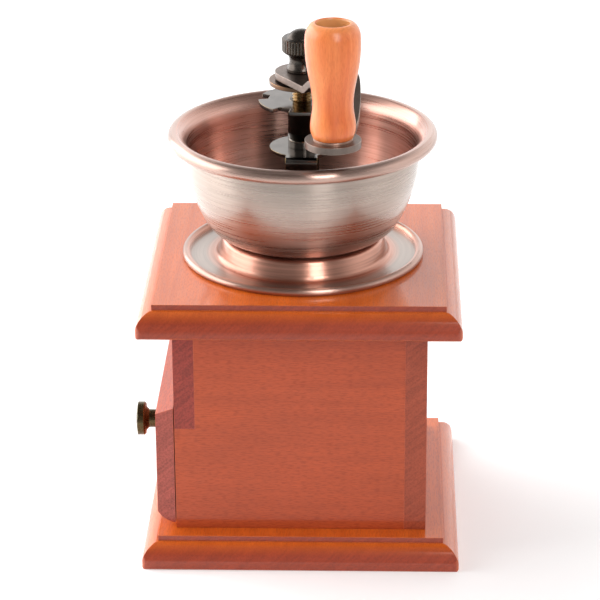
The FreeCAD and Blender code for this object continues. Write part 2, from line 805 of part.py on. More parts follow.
inner = turned([(0, z_burr), (inner_burr_low_r - 0.6, z_burr), (inner_burr_low_r, z_burr + 0.6),
                (inner_burr_top_r, z_burr_top), (0, z_burr_top)])
drive_hole = double_flat(drive_r + drive_fit, drive_flat + drive_fit, z_burr - 1, z_burr_top + 1)
z_fine = z_burr + inner_burr_h * 0.45
tools = groove_tools(fine_teeth, z_burr - 2, z_fine, fine_tooth_w, fine_tooth_depth,
                     False, fine_tooth_twist)
tools += groove_tools(coarse_flutes, z_fine, z_burr_top + 4, coarse_flute_w, coarse_flute_depth,
                      False, fine_tooth_twist)
inner = inner.cut(tools).cut(drive_hole)
save("inner_burr", inner)

ring = rod(burr_ring_r, z_ring, z_ring_top)
z_over = z_ring_top + 1
bore = turned([(0, z_ring - 1), (burr_radius(z_ring - 1) + burr_gap, z_ring - 1),
               (burr_radius(z_over) + burr_gap, z_over), (0, z_over)])
ring = ring.cut(bore)
mouth = Part.makeCone(burr_radius(z_ring_top - 5) + burr_gap, throat_bore_r - 1.5, 5.2,
                      V(0, 0, z_ring_top - 5))
tools = groove_tools(fine_teeth, z_ring - 2, z_fine, fine_tooth_w, fine_tooth_depth,
                     True, -fine_tooth_twist)
tools += groove_tools(coarse_flutes, z_fine, z_ring_top + 4, coarse_flute_w, coarse_flute_depth,
                      True, -fine_tooth_twist)
ring = ring.cut([mouth] + tools)
save("outer_burr", ring)

save("burr_washer", tube(burr_washer_r, stud_r + 0.15, z_burr_washer, z_burr))
burr_nut = hexagon(burr_nut_w, z_burr_nut, z_burr_washer)
save("burr_nut", burr_nut.cut(rod(stud_r + hole_clear, z_burr_nut, z_burr_washer)))

# Spindle
z_shoulder = z_lock - lock_t
z_drive_top = z_arm
z_stud_top = z_arm + nut_bore_h - 0.8
z_thread_low = z_shoulder - thread_run
spindle = rod(spindle_r, z_burr_top, z_shoulder)
spindle = spindle.fuse(double_flat(drive_r, drive_flat, z_burr, z_burr_top))
spindle = spindle.fuse(rod(stud_r, z_spindle, z_burr))
spindle = spindle.fuse(rod(drive_r, z_shoulder, z_lock + spacer_t / 2))
arm_drive = double_flat(drive_r, drive_flat, z_lock + spacer_t / 2, z_drive_top)
spindle = spindle.fuse(turn(arm_drive, arm_turn_deg - 90))
spindle = spindle.fuse(rod(stud_r, z_drive_top, z_stud_top))
rings = []
turns = int(thread_run / thread_pitch)
half_v = thread_pitch * 0.42
for i in range(turns):
    z = z_thread_low + (i + 0.5) * thread_pitch
    rings.append(turned([(spindle_r + 0.1, z - half_v), (spindle_r + 0.1, z + half_v),
                         (spindle_r - thread_depth, z)]))
spindle = spindle.cut(rings)
save("spindle", spindle)


# Burr spring: one wire, wound as arcs that run on smoothly
def helix_point(r, pitch, a, z0):
    return V(r * math.cos(a), r * math.sin(a), z0 + pitch * a / (2 * math.pi))


def helix_dir(r, pitch, a):
    t = V(-r * math.sin(a), r * math.cos(a), pitch / (2 * math.pi))
    return t.normalize()


def arc_from_tangent(a, q, b):
    """Arc from a to b whose end tangents meet at q."""
    mid = (a + b) * 0.5
    c = (a - mid).Length
    h = (q - mid).Length
    d = math.hypot(c, h)
    sag = c * (d - c) / h
    return Part.Arc(a, mid + (q - mid) * (sag / h), b).toShape()


def spring_wire_path(r, pitch, count, z0):
    edges = []
    for i in range(4 * count):
        a0 = i * math.pi / 2
        a1 = a0 + math.pi / 2
        p0, p1 = helix_point(r, pitch, a0, z0), helix_point(r, pitch, a1, z0)
        t0, t1 = helix_dir(r, pitch, a0), helix_dir(r, pitch, a1)
        span = p1 - p0
        t = t0 + t1
        k = 2 * (1 - t0.dot(t1))
        d = (-span.dot(t) + math.sqrt(span.dot(t) ** 2 + k * span.dot(span))) / k
        joint = (p0 + p1 + (t0 - t1) * d) * 0.5
        edges.append(arc_from_tangent(p0, p0 + t0 * d, joint))
        edges.append(arc_from_tangent(joint, p1 - t1 * d, p1))
    return Part.Wire(edges)


spring_low = z_burr_top + spring_wire / 2
spring_high = z_hub - spring_wire / 2
spring_pitch = (spring_high - spring_low) / spring_turns
path = spring_wire_path(spring_r, spring_pitch, spring_turns, spring_low)
section = Part.Wire(Part.Circle(helix_point(spring_r, spring_pitch, 0, spring_low),
                                helix_dir(spring_r, spring_pitch, 0), spring_wire / 2).toShape())
spring = path.makePipeShell([section], True, False)
print("spring gap between turns", round(spring_pitch - spring_wire, 2))
save("burr_spring", spring)

# Grind adjuster
z_sleeve = z_bush + sleeve_gap
z_wheel_low = z_wheel - wheel_t
thread_fit = 0.05
sleeve = turned([(spindle_r + thread_fit, z_sleeve), (sleeve_r - sleeve_taper, z_sleeve),
                 (sleeve_r, z_sleeve + sleeve_taper_h),
                 (sleeve_r, z_wheel_low), (sleeve_spigot_r, z_wheel_low), (sleeve_spigot_r, z_wheel),
                 (spindle_r + thread_fit, z_wheel)])
save("adjusting_sleeve", sleeve)

wheel = tube(wheel_r, sleeve_spigot_r + hole_clear, z_wheel_low, z_wheel)
notch_floor = wheel_r - notch_depth
notch_end = wheel_r + 3
grow = (notch_out_w - notch_in_w) / notch_depth * (notch_end - notch_floor)
notch_pts = [V(notch_floor, -notch_in_w / 2, z_wheel_low - 1),
             V(notch_end, -(notch_in_w + grow) / 2, z_wheel_low - 1),
             V(notch_end, (notch_in_w + grow) / 2, z_wheel_low - 1),
             V(notch_floor, notch_in_w / 2, z_wheel_low - 1),
             V(notch_floor, -notch_in_w / 2, z_wheel_low - 1)]
notch = Part.Face(Part.makePolygon(notch_pts)).extrude(V(0, 0, wheel_t + 2))
notch_step = 360 / notch_count
notches = [turn(notch, 180 + notch_first_deg + notch_step * i) for i in range(notch_count)]
save("adjusting_wheel", wheel.cut(notches))

tab_in = notch_floor + lock_tab_in
tab_out = tab_in + lock_t
z_lock_low = z_lock - lock_t
tab = box(lock_r - lock_tab_root, tab_out, -lock_tab_w / 2, lock_tab_w / 2, z_lock_low, z_lock)
tab = tab.fuse(box(tab_in, tab_out, -lock_tab_w / 2, lock_tab_w / 2,
                   z_wheel_low - lock_tab_below, z_lock))
tab = tab.removeSplitter()
tab_bend = [e for e in tab.Edges if abs(e.CenterOfMass.x - tab_out) < 1e-6
            and abs(e.CenterOfMass.z - z_lock) < 1e-6]
tab = tab.makeFillet(lock_t * 0.9, tab_bend)
tab = turn(tab, 180 + notch_first_deg + notch_step * lock_notch)
lock_plate = rod(lock_r, z_lock_low, z_lock).fuse(tab)
lock_plate = lock_plate.cut(rod(drive_r + running, z_lock_low - 1, z_lock + 1))
save("lock_plate", lock_plate)
save("spacer_washer", tube(spacer_r, drive_r + 0.1, z_lock, z_arm_low))


# Crank arm: a flat blank with round ends, bent into a wave
def spline(points, first, last):
    curve = Part.BSplineCurve()
    curve.interpolate(Points=[V(p[0], p[1], 0) for p in points],
                      InitialTangent=V(first[0], first[1], 0), FinalTangent=V(last[0], last[1], 0))
    return curve.toShape()


neck = math.radians(arm_neck_deg)
along = (math.cos(neck), -math.sin(neck))
across = (math.sin(neck), math.cos(neck))
neck_right = (arm_neck_u + across[0] * arm_neck_half, arm_neck_v + across[1] * arm_neck_half)
neck_left = (arm_neck_u - across[0] * arm_neck_half, arm_neck_v - across[1] * arm_neck_half)
to_end = (arm_end_u - arm_neck_u) * along[0] + (arm_end_v - arm_neck_v) * along[1]
end_right = (neck_right[0] + along[0] * to_end, neck_right[1] + along[1] * to_end)
end_left = (neck_left[0] + along[0] * to_end, neck_left[1] + along[1] * to_end)
right_edge = spline([(0, arm_hub_r), (arm_crest_u + 1.5, arm_right_v), neck_right], (1, 0.03), along)
left_edge = spline([(0, -arm_hub_r), (arm_bend_u, -arm_left_v), neck_left], (1, 0.05), along)


def seg(a, b):
    return Part.LineSegment(V(a[0], a[1], 0), V(b[0], b[1], 0)).toShape()


band_edges = [right_edge, seg(neck_right, end_right), seg(end_right, end_left),
              seg(end_left, neck_left), left_edge, seg((0, -arm_hub_r), (0, arm_hub_r))]
band = Part.Face(Part.Wire(band_edges))
blank_h = 8 * arm_drop
blank = band.extrude(V(0, 0, blank_h))
blank = blank.fuse([rod(arm_hub_r, 0, blank_h), rod(arm_end_r, 0, blank_h, arm_end_u, arm_end_v)])
blank.translate(V(0, 0, z_arm - blank_h / 2))
wave = [(-arm_hub_r - 1, z_arm), (arm_bend_u, z_arm), (arm_crest_u, z_arm + arm_crest_h),
        (arm_low_u, z_end), (arm_end_u + arm_end_r + 1, z_end)]
wave_face = outline(bent_section(wave, [arm_bend_r, arm_crest_r, arm_low_r], arm_t), in_xz)
wave_face.translate(V(0, -arm_end_u, 0))
arm = wave_face.extrude(V(0, 2 * arm_end_u, 0)).common(blank)
hub_hole = double_flat(drive_r + drive_fit, drive_flat + drive_fit, z_arm_low - 1, z_arm + 1)
arm = arm.cut([hub_hole, rod(pin_r + hole_clear, z_end - arm_t - 1, z_end + 1, arm_end_u, arm_end_v)])


def on_arm(shape):
    """Turns a piece from the arm's own axes, u along and v across, to its rest place."""
    return turn(shape, arm_turn_deg - 90)


save("crank_arm", on_arm(arm))

# Cap nut
neck_mid = (nut_flange_h + nut_neck_h) / 2
nut = turned([
    (0, z_arm), (nut_flange_r - 0.3, z_arm), (nut_flange_r, z_arm + 0.3),
    (nut_flange_r, z_arm + nut_flange_h - 0.6),
    ((nut_neck_r, z_arm + neck_mid), (nut_neck_r + 0.4, z_arm + nut_neck_h)),
    (nut_head_r - 0.4, z_arm + nut_head_low), (nut_head_r, z_arm + nut_head_low + 0.6),
    (nut_head_r, z_arm + nut_head_top - nut_chamfer), (nut_head_r - nut_chamfer, z_arm + nut_head_top),
    (nut_dome_r, z_arm + nut_head_top), dome(nut_dome_r, z_arm + nut_head_top, nut_h - nut_head_top),
])
nut = nut.cut(rod(stud_r + hole_clear, z_arm - 1, z_arm + nut_bore_h))
flutes = []
for i in range(knurl_count):
    w = math.pi * nut_head_r / knurl_count
    tri = [V(nut_head_r - knurl_depth, 0, z_arm + nut_head_low - 1),
           V(nut_head_r + 0.4, -w, z_arm + nut_head_low - 1),
           V(nut_head_r + 0.4, w, z_arm + nut_head_low - 1),
           V(nut_head_r - knurl_depth, 0, z_arm + nut_head_low - 1)]
    flute = Part.Face(Part.makePolygon(tri)).extrude(V(0, 0, nut_head_top - nut_head_low + 2))
    flutes.append(turn(flute, 360 * i / knurl_count))
nut = nut.cut(flutes)
save("cap_nut", nut)

# Grip on its pin
grip_top = z_grip + grip_h
bore_floor = grip_top - grip_bore_deep
side_points = [V(grip_foot_r, 0, z_grip), V(grip_heel_r, 0, z_grip + grip_heel_h),
               V(grip_waist_r, 0, z_grip + grip_waist_h), V(grip_mid_r, 0, z_grip + grip_mid_h)]
for i in range(6):
    a = math.radians(16 * i)
    side_points.append(V(grip_head_r - grip_round_w * (1 - math.cos(a)), 0,
                         grip_top - grip_round_h * (1 - math.sin(a))))
grip_rim_r = grip_head_r - grip_round_w
side_points.append(V(grip_rim_r, 0, grip_top))
side = Part.BSplineCurve()
side.interpolate(side_points)


def line_xz(a, b):
    return Part.LineSegment(V(a[0], 0, a[1]), V(b[0], 0, b[1])).toShape()


pin_hole = pin_r + running
grip_edges = [side.toShape(), line_xz((grip_rim_r, grip_top), (grip_bore_r, grip_top - 0.6)),
              line_xz((grip_bore_r, grip_top - 0.6), (grip_bore_r, bore_floor)),
              line_xz((grip_bore_r, bore_floor), (pin_hole, bore_floor)),
              line_xz((pin_hole, bore_floor), (pin_hole, z_grip)),
              line_xz((pin_hole, z_grip), (grip_foot_r, z_grip))]
grip = Part.Face(Part.Wire(grip_edges)).revolve(V(0, 0, 0), V(0, 0, 1), 360)


def at_end(shape):
    """Moves a piece made on the Z axis to the grip's axis."""
    return on_arm(shift(shape, arm_end_u, arm_end_v, 0))


save("handle_grip", at_end(grip))
save("handle_washer", at_end(tube(grip_washer_r, pin_hole, z_end, z_end + grip_washer_t)))
z_head = bore_floor + grip_gap
pin = rod(pin_r, z_end - arm_t, z_head)
pin = pin.fuse(turned([(0, z_head), (pin_head_r, z_head), (pin_head_r, z_head + pin_head_t - 0.8),
                       dome(pin_head_r, z_head + pin_head_t - 0.8, 0.8)]))
z_rivet = z_end - arm_t
pin = pin.fuse(turned([(0, z_rivet), (pin_foot_r, z_rivet), dome(pin_foot_r, z_rivet, -pin_foot_t)]))
slot = box(-pin_head_r, pin_head_r, -0.5, 0.5, z_head + pin_head_t * 0.45, z_head + 9)
save("handle_pin", at_end(pin.cut(slot)))
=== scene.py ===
import math
import bpy
from mathutils import Matrix, Vector


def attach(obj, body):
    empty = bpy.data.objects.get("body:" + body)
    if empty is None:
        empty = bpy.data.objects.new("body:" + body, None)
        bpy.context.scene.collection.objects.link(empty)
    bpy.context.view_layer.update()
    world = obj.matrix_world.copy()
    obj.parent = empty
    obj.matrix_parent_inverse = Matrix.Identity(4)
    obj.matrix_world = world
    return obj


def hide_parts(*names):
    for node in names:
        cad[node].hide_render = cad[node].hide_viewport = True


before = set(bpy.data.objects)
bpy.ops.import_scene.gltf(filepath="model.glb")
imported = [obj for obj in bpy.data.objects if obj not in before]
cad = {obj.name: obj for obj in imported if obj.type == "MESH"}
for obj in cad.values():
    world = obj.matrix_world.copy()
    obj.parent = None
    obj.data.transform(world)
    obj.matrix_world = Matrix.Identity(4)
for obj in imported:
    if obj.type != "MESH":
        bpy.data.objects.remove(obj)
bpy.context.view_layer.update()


# Base board and cap board: two square boards of solid beech, moulded along all four
# edges, stained red-brown and sprayed with clear lacquer. The walls stand between
# them. The grain runs from near to far, so the near and far edges are end grain.
def tone(code):
    """An sRGB hex colour as the linear colour that a shader takes."""
    parts = [int(code[i:i + 2], 16) / 255 for i in (0, 2, 4)]
    return tuple(c / 12.92 if c <= 0.04045 else ((c + 0.055) / 1.055) ** 2.4 for c in parts) + (1.0,)


def add(tree, kind, inputs=None, **settings):
    """Adds a shader node. An input is given a value, or another node's output to link.
    A Mix takes 0 as its share, 2 and 3 as its numbers and 6 and 7 as its colours."""
    n = tree.nodes.new("ShaderNode" + kind)
    for name, value in settings.items():
        setattr(n, name, value)
    for name, value in (inputs or {}).items():
        if isinstance(value, bpy.types.NodeSocket):
            tree.links.new(value, n.inputs[name])
        else:
            n.inputs[name].default_value = value
    return n


def finish_of(name):
    """A new material with an empty node tree."""
    mat = bpy.data.materials.new(name)
    mat.use_nodes = True
    mat.node_tree.nodes.clear()
    return mat, mat.node_tree


def dress(mat, *names):
    """Gives CAD nodes their finish."""
    for name in names:
        for slot in cad[name].material_slots:
            slot.material = mat


edge_sets_in, edge_full = 0.97, 0.80      # cosines of 14 and 37 degrees


def soft_edge(tree, radius):
    """Normal rounded over sharp edges, and a mask that grows to 1 as it turns there."""
    round_off = add(tree, "Bevel", {"Radius": radius}, samples=6)
    flat = add(tree, "NewGeometry")
    same = add(tree, "VectorMath", {0: round_off.outputs[0], 1: flat.outputs["Normal"]},
               operation="DOT_PRODUCT")
    edge = add(tree, "MapRange", {"Value": same.outputs["Value"], "From Min": edge_sets_in,
                                  "From Max": edge_full})
    return round_off.outputs[0], edge.outputs[0]


# Grain axes: the turn that brings the pattern's X along the grain.
grain_x = (0.0, 0.0, 0.0)
grain_y = (0.0, 0.0, -math.pi / 2)
grain_z = (0.0, math.pi / 2, 0.0)

ring_slant = 0.7                          # radians, growth lines on a sawn end
ring_density = (40.0, 70.0, 800.0)        # per metre, so the lines are 1.25 mm apart
pore_density = 1400.0                     # per metre
fleck_dark = (0.52, 0.38, 0.38)           # ray flecks, as shares of the deep colour
broken_edge = 0.0006                      # sanded edges, in metres
grain_relief = 0.00003
lacquer_ior, lacquer_shine = 1.5, 0.18    # most of the shine is in the coat


def beech(name, turn, face, deep, end, rough, coat, streak=1.0, satin=0.11, bore=None):
    """Beech. face and deep are the two colours of its growth bands, end is that of its
    sawn ends, which soak up more stain, and streak is how strongly the grain shows.
    coat and satin are the lacquer's body and roughness. bore is a round hole, given
    by its x, y, radius and colour, that the stain didn't reach."""
    face, deep, end = tone(face), tone(deep), tone(end)
    mat, tree = finish_of(name)
    where = add(tree, "TexCoord")
    along = add(tree, "Mapping", {"Vector": where.outputs["Object"], "Rotation": turn})

    def grain(length_mm, width_mm, detail, distort=0.0):
        """Noise drawn out along the grain."""
        size = (1000 / length_mm, 1000 / width_mm, 1000 / width_mm)
        v = add(tree, "VectorMath", {0: along.outputs[0], 1: size}, operation="MULTIPLY")
        return add(tree, "TexNoise", {"Vector": v.outputs[0], "Scale": 1.0, "Detail": detail,
                                      "Distortion": distort}).outputs["Fac"]

    # Growth bands are 5 mm wide and ray flecks 2.6 mm long, as in real beech. A fibre
    # is 1 mm long and too thin to show, so fibres are drawn 9 mm long and 0.45 mm wide.
    bands = grain(120, 5.0, detail=3.0, distort=0.6)
    fibre = grain(9, 0.45, detail=2.0)
    ray = grain(2.6, 0.42, detail=1.0)
    cloud = grain(38, 24, detail=2.0)
    band_mask = add(tree, "MapRange", {"Value": bands, "From Min": 0.36, "From Max": 0.66})
    base = add(tree, "Mix", {0: band_mask.outputs[0], 6: face, 7: deep}, data_type="RGBA")
    fibre_shade = add(tree, "MapRange", {"Value": fibre, "From Min": 0.3, "From Max": 0.7,
                                         "To Min": 1 - 0.12 * streak, "To Max": 1 + 0.09 * streak})
    cloud_shade = add(tree, "MapRange", {"Value": cloud, "From Min": 0.3, "From Max": 0.7,
                                         "To Min": 0.93, "To Max": 1.05})
    shade = add(tree, "Math", {0: fibre_shade.outputs[0], 1: cloud_shade.outputs[0]},
                operation="MULTIPLY")
    toned = add(tree, "VectorMath", {0: base.outputs[2], "Scale": shade.outputs[0]}, operation="SCALE")
    ray_mask = add(tree, "MapRange", {"Value": ray, "From Min": 0.47, "From Max": 0.66,
                                      "To Min": 0.0, "To Max": 0.62 * streak})
    fleck = tuple(part * c for part, c in zip(fleck_dark, deep)) + (1.0,)
    long_grain = add(tree, "Mix", {0: ray_mask.outputs[0], 6: toned.outputs[0], 7: fleck},
                     data_type="RGBA")

    # Sawn ends face along the grain. Their pores are 0.1 mm wide in real beech, too
    # fine to show, so they are drawn 0.7 mm wide.
    end_turn = add(tree, "Mapping", {"Vector": where.outputs["Normal"], "Rotation": turn})
    parts = add(tree, "SeparateXYZ", {0: end_turn.outputs[0]})
    facing = add(tree, "Math", {0: parts.outputs["X"]}, operation="ABSOLUTE")
    end_mask = add(tree, "MapRange", {"Value": facing.outputs[0], "From Min": 0.35, "From Max": 0.88})
    rings = add(tree, "Mapping", {"Vector": along.outputs[0], "Rotation": (ring_slant, 0.0, 0.0)})
    rings = add(tree, "VectorMath", {0: rings.outputs[0], 1: ring_density}, operation="MULTIPLY")
    ring = add(tree, "TexNoise", {"Vector": rings.outputs[0], "Scale": 1.0, "Detail": 2.0})
    ring_shade = add(tree, "MapRange", {"Value": ring.outputs["Fac"], "From Min": 0.38, "From Max": 0.62,
                                        "To Min": 1 - 0.20 * streak, "To Max": 1.08})
    pore = add(tree, "TexNoise", {"Vector": along.outputs[0], "Scale": pore_density, "Detail": 1.0})
    pore_shade = add(tree, "MapRange", {"Value": pore.outputs["Fac"], "From Min": 0.36, "From Max": 0.60,
                                        "To Min": 1 - 0.22 * streak, "To Max": 1.06})
    end_shade = add(tree, "Math", {0: ring_shade.outputs[0], 1: pore_shade.outputs[0]},
                    operation="MULTIPLY")
    end_grain = add(tree, "VectorMath", {0: end[:3], "Scale": end_shade.outputs[0]}, operation="SCALE")
    wood = add(tree, "Mix", {0: end_mask.outputs[0], 6: long_grain.outputs[2], 7: end_grain.outputs[0]},
               data_type="RGBA")

    if bore:
        x, y, radius, inside = bore
        spot = add(tree, "VectorMath", {0: where.outputs["Object"], 1: (-x, -y, 0)}, operation="ADD")
        spot = add(tree, "VectorMath", {0: spot.outputs[0], 1: (1, 1, 0)}, operation="MULTIPLY")
        spot = add(tree, "VectorMath", {0: spot.outputs[0]}, operation="LENGTH")
        hole = add(tree, "MapRange", {"Value": spot.outputs["Value"], "From Min": radius + 0.0002,
                                      "From Max": radius})
        wood = add(tree, "Mix", {0: hole.outputs[0], 6: wood.outputs[2], 7: tone(inside)},
                   data_type="RGBA")

    # Edges are rubbed paler by hands and cloths.
    rounded, edge = soft_edge(tree, broken_edge)
    rub = add(tree, "Math", {0: edge, 1: cloud}, operation="MULTIPLY")
    pale = tuple(min(1.0, 1.3 * c + 0.03) for c in face[:3]) + (1.0,)
    wood = add(tree, "Mix", {0: rub.outputs[0], 6: wood.outputs[2], 7: pale}, data_type="RGBA")
    relief = add(tree, "Math", {0: fibre, 1: ray_mask.outputs[0]}, operation="SUBTRACT")
    bump = add(tree, "Bump", {"Height": relief.outputs[0], "Distance": grain_relief * streak,
                              "Strength": 0.6, "Normal": rounded})
    matt = add(tree, "MapRange", {"Value": fibre, "From Min": 0.3, "From Max": 0.7,
                                  "To Min": rough - 0.06, "To Max": rough + 0.08})
    skin = add(tree, "BsdfPrincipled", {"Base Color": wood.outputs[2], "Roughness": matt.outputs[0],
                                        "IOR": lacquer_ior, "Specular IOR Level": lacquer_shine,
                                        "Coat Weight": coat, "Coat Roughness": satin,
                                        "Normal": bump.outputs[0]})
    add(tree, "OutputMaterial", {"Surface": skin.outputs[0]})
    return mat


# Stained, lacquered beech: clear orange-brown with a satin sheen and darker sawn ends.
# Its colour is painted lighter than the walls' to stand in for the stronger light on
# the boards' upper faces.
board_finish_painted_lighter = beech("stained_beech_boards_painted_lighter", grain_y, "D4641E", "C65A1A", "94361A",
                     rough=0.40, coat=0.8, streak=0.5)
dress(board_finish_painted_lighter, "base_board", "cap_board")


# Walls of the box: two wide side panels with level grain, a back panel and a short
# front rail, all of beech and glued. The ends of the back panel and of the rail show
# in the wide sides as darker strips of end grain.

# Stained beech under a thinner coat of lacquer: red-brown and duller than the boards,
# whose lighter colour is painted light.
red_wall, red_deep = "B04317", "AC4114"
side_finish = beech("stained_beech_sides", grain_x, "B24B24", "A84521", "A6401C",
                    rough=0.44, coat=0.5, streak=0.7)
back_finish = beech("stained_beech_back", grain_y, red_wall, red_deep, "98432A",
                    rough=0.46, coat=0.4, streak=0.7)
rail_finish = beech("stained_beech_rail", grain_y, red_wall, red_deep, "93382C",
                    rough=0.46, coat=0.4)
dress(side_finish, "side_panel_near", "side_panel_far")
dress(back_finish, "back_panel")
dress(rail_finish, "front_rail")


# Base screws and cap dowels: four zinc-plated screws driven up through the base into
# the side walls, and four plain beech dowels that hold the cap board on the walls.
smudge_density = 160.0                    # per metre, so marks of handling are 6 mm wide
brush_relief = 0.000006


def worn_metal(name, colour, worn, rough, wear, brush_mm=0.6, edge_mm=0.35):
    """Plated, blackened or bare metal, with brushing and smudges in its gloss. Its
    edges, edge_mm wide, are rubbed to the colour worn, by the share wear. Brushing is
    some 0.1 mm wide, too fine to show, so it is drawn brush_mm wide."""
    mat, tree = finish_of(name)
    where = add(tree, "TexCoord")
    brushing = add(tree, "TexNoise", {"Vector": where.outputs["Object"], "Scale": 1000 / brush_mm,
                                      "Detail": 3.0})
    smudge = add(tree, "TexNoise", {"Vector": where.outputs["Object"], "Scale": smudge_density,
                                    "Detail": 2.0})
    rounded, edge = soft_edge(tree, edge_mm / 1000)
    patch = add(tree, "MapRange", {"Value": smudge.outputs["Fac"], "From Min": 0.35, "From Max": 0.65,
                                   "To Min": 0.4, "To Max": 1.0})
    rub = add(tree, "Math", {0: edge, 1: patch.outputs[0]}, operation="MULTIPLY")
    rub = add(tree, "Math", {0: rub.outputs[0], 1: wear}, operation="MULTIPLY", use_clamp=True)
    shade = add(tree, "MapRange", {"Value": smudge.outputs["Fac"], "From Min": 0.3, "From Max": 0.7,
                                   "To Min": 0.82, "To Max": 1.15})
    toned = add(tree, "VectorMath", {0: tone(colour)[:3], "Scale": shade.outputs[0]}, operation="SCALE")
    metal = add(tree, "Mix", {0: rub.outputs[0], 6: toned.outputs[0], 7: tone(worn)}, data_type="RGBA")
    gloss = add(tree, "MapRange", {"Value": brushing.outputs["Fac"], "From Min": 0.3, "From Max": 0.7,
                                   "To Min": rough * 0.8, "To Max": rough * 1.3})
    bump = add(tree, "Bump", {"Height": brushing.outputs["Fac"], "Distance": brush_relief,
                              "Strength": 0.5, "Normal": rounded})
    skin = add(tree, "BsdfPrincipled", {"Base Color": metal.outputs[2], "Metallic": 1.0,
                                        "Roughness": gloss.outputs[0], "Normal": bump.outputs[0]})
    add(tree, "OutputMaterial", {"Surface": skin.outputs[0]})
    return mat


# Zinc plating: pale bluish grey, fairly matt. Plain beech, neither stained nor
# lacquered: pale straw brown and matt.
zinc_finish = worn_metal("zinc_plated_steel", "B9BCC0", "D8DADC", rough=0.34, wear=0.6)
plain_wood = {"face": "D9B48C", "deep": "C99E73", "end": "B98B60", "rough": 0.62, "coat": 0.0}
upright_finish = beech("plain_beech_upright", grain_z, **plain_wood)
dress(zinc_finish, "base_screws")
dress(upright_finish, "cap_dowels")


# Dish and hopper bowl: both are spun from thin sheet steel, copper plated, toned brown
# and brushed in the lathe, so fine lines run round them and the light spreads into
# fans across the lines. The bowl's rim is rolled outward, and the dish ends in a bead.
stain_density = 45.0                      # per metre, so the toning is 22 mm from patch to patch
rolled_edge = 0.0003
line_relief = 0.000008
wax_coat, wax_rough = 0.6, 0.12


def spun_copper(name, bright, brown, silver, rough, along, start, full, end):
    """Copper plate, bright on the lines and brown between them. along is how much the
    gloss follows the lines. Faces that turn outward or up pale to a silver patina: it
    sets in at the radius start, is strongest from full on, and fades at the rolled
    edge, at the radius end. Where start is set low, as on the bowl, the silver is also
    painted reflection of the dish and cap board that lie under the wall."""
    bright, brown, silver = tone(bright), tone(brown), tone(silver)
    mat, tree = finish_of(name)
    where = add(tree, "TexCoord")
    xyz = add(tree, "SeparateXYZ", {0: where.outputs["Object"]})
    plan = add(tree, "CombineXYZ", {"X": xyz.outputs["X"], "Y": xyz.outputs["Y"]})
    radius = add(tree, "VectorMath", {0: plan.outputs[0]}, operation="LENGTH")
    away = add(tree, "VectorMath", {0: plan.outputs[0]}, operation="NORMALIZE")

    def lines(width_mm, change, detail):
        """Noise drawn out round the axis. change is how much it alters on the way round."""
        turn = add(tree, "VectorMath", {0: away.outputs[0], "Scale": change}, operation="SCALE")
        out = add(tree, "Math", {0: radius.outputs["Value"], 1: 1000 / width_mm}, operation="MULTIPLY")
        up = add(tree, "Math", {0: xyz.outputs["Z"], 1: 1000 / width_mm}, operation="MULTIPLY")
        lift = add(tree, "CombineXYZ", {"Z": out.outputs[0]})
        v = add(tree, "VectorMath", {0: turn.outputs[0], 1: lift.outputs[0]}, operation="ADD")
        return add(tree, "TexNoise", {"Vector": v.outputs[0], "W": up.outputs[0], "Scale": 1.0,
                                      "Detail": detail}, noise_dimensions="4D").outputs["Fac"]

    # The brush leaves lines of 0.1 mm, too fine to show, so they are drawn 0.7 mm wide.
    # The tool marks of the spinning are 1.8 mm wide.
    hair = lines(0.7, 1.2, detail=3.0)
    tool_mark = lines(1.8, 0.8, detail=2.0)
    stain = add(tree, "TexNoise", {"Vector": where.outputs["Object"], "Scale": stain_density,
                                   "Detail": 3.0})
    hair_mask = add(tree, "MapRange", {"Value": hair, "From Min": 0.28, "From Max": 0.72})
    mark_mask = add(tree, "MapRange", {"Value": tool_mark, "From Min": 0.35, "From Max": 0.65})
    mix = add(tree, "Mix", {0: 0.3, 2: hair_mask.outputs[0], 3: mark_mask.outputs[0]})
    mix = add(tree, "Mix", {0: 0.25, 2: mix.outputs[0], 3: stain.outputs["Fac"]})
    copper = add(tree, "Mix", {0: mix.outputs[0], 6: brown, 7: bright}, data_type="RGBA")
    outward = add(tree, "VectorMath", {0: where.outputs["Normal"], 1: away.outputs[0]},
                  operation="DOT_PRODUCT")
    side = add(tree, "MapRange", {"Value": outward.outputs["Value"], "From Min": -0.35,
                                  "From Max": -0.05})
    reach = add(tree, "MapRange", {"Value": radius.outputs["Value"], "From Min": start,
                                   "From Max": full})
    stop = add(tree, "MapRange", {"Value": radius.outputs["Value"], "From Min": end + 0.001,
                                  "From Max": end, "To Min": 0.45})
    patina_and_painted_reflection = add(tree, "Math", {0: side.outputs[0], 1: reach.outputs[0]}, operation="MULTIPLY")
    patina_and_painted_reflection = add(tree, "Math", {0: patina_and_painted_reflection.outputs[0], 1: stop.outputs[0]}, operation="MULTIPLY")
    dull = tuple(0.6 * c for c in silver[:3]) + (1.0,)
    pale = add(tree, "Mix", {0: mix.outputs[0], 6: dull, 7: silver}, data_type="RGBA")
    plate = add(tree, "Mix", {0: patina_and_painted_reflection.outputs[0], 6: copper.outputs[2], 7: pale.outputs[2]},
                data_type="RGBA")
    rounded = add(tree, "Bevel", {"Radius": rolled_edge}, samples=6)
    gloss = add(tree, "MapRange", {"Value": hair, "From Min": 0.3, "From Max": 0.7,
                                   "To Min": rough - 0.05, "To Max": rough + 0.06})
    bump = add(tree, "Bump", {"Height": hair, "Distance": line_relief, "Strength": 0.5,
                              "Normal": rounded.outputs[0]})
    round_axis = add(tree, "Tangent", direction_type="RADIAL", axis="Z")
    skin = add(tree, "BsdfPrincipled", {"Base Color": plate.outputs[2], "Metallic": 1.0,
                                        "Roughness": gloss.outputs[0], "Anisotropic": along,
                                        "Anisotropic Rotation": 0.25, "Coat Weight": wax_coat,
                                        "Coat Roughness": wax_rough, "Tangent": round_axis.outputs[0],
                                        "Normal": bump.outputs[0]})
    add(tree, "OutputMaterial", {"Surface": skin.outputs[0]})
    return mat
